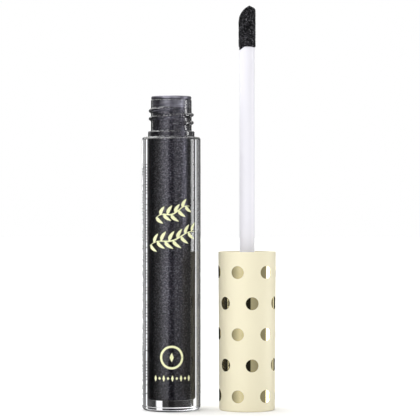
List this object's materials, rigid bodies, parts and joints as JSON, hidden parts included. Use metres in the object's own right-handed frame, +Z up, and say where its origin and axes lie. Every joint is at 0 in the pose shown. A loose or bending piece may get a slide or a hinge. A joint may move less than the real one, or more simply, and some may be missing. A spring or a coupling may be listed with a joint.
{
  "type": "lip gloss tube with wand cap",
  "caption": "Clear round cosmetic tube with a threaded neck, filled with dark lip colour, and its separate dotted cap with a flocked wand standing beside it.",
  "frame": {"origin": "on the ground, midway between the outer sides of the tube and of the cap that stands beside it", "axes": "+Z up along the tube's and the wand's axes, +X from the tube's axis to the cap's axis, -Y towards the front of the tube"},
  "size_m": [0.0375, 0.0165, 0.113],
  "materials": {
    "clear_plastic": "clear polished moulded plastic",
    "wiper_plastic": "natural soft plastic stained by the colour",
    "lip_colour": "thick charcoal liquid with fine shimmer",
    "label_film": null,
    "cream_plastic": "satin cream moulded plastic",
    "white_plastic": "white moulded plastic",
    "soft_washer": "soft pale foam plastic",
    "stem_plastic": "white extruded plastic",
    "core_plastic": "soft moulded plastic",
    "flock": "short black flocking soaked in colour",
    "gold_foil": "hot-stamped pale gold mirror foil"
  },
  "bodies": {
    "tube": {"bottle": "clear_plastic", "wiper": "wiper_plastic", "lip_colour": "lip_colour", "back_label": "label_film"},
    "seal": {"seal_washer": "soft_washer"},
    "cap": {"over_cap": "cream_plastic", "inner_cap": "white_plastic", "stem": "stem_plastic", "applicator_core": "core_plastic", "flocked_pad": "flock", "foil_dots_row_1": "gold_foil", "foil_dots_row_2": "gold_foil", "foil_dots_row_3": "gold_foil", "foil_dots_row_4": "gold_foil", "foil_dots_row_5": "gold_foil"}
  },
  "joints": [
    {"name": "cap_lift", "type": "slide", "parent": "tube", "child": "seal", "axis": [0, 0, 1], "range_m": [0, 0.09]},
    {"name": "cap_turn", "type": "hinge", "parent": "seal", "child": "cap", "pos_m": [0.01068, 0, 0.02], "axis": [0, 0, 1], "continuous": true}
  ]
}
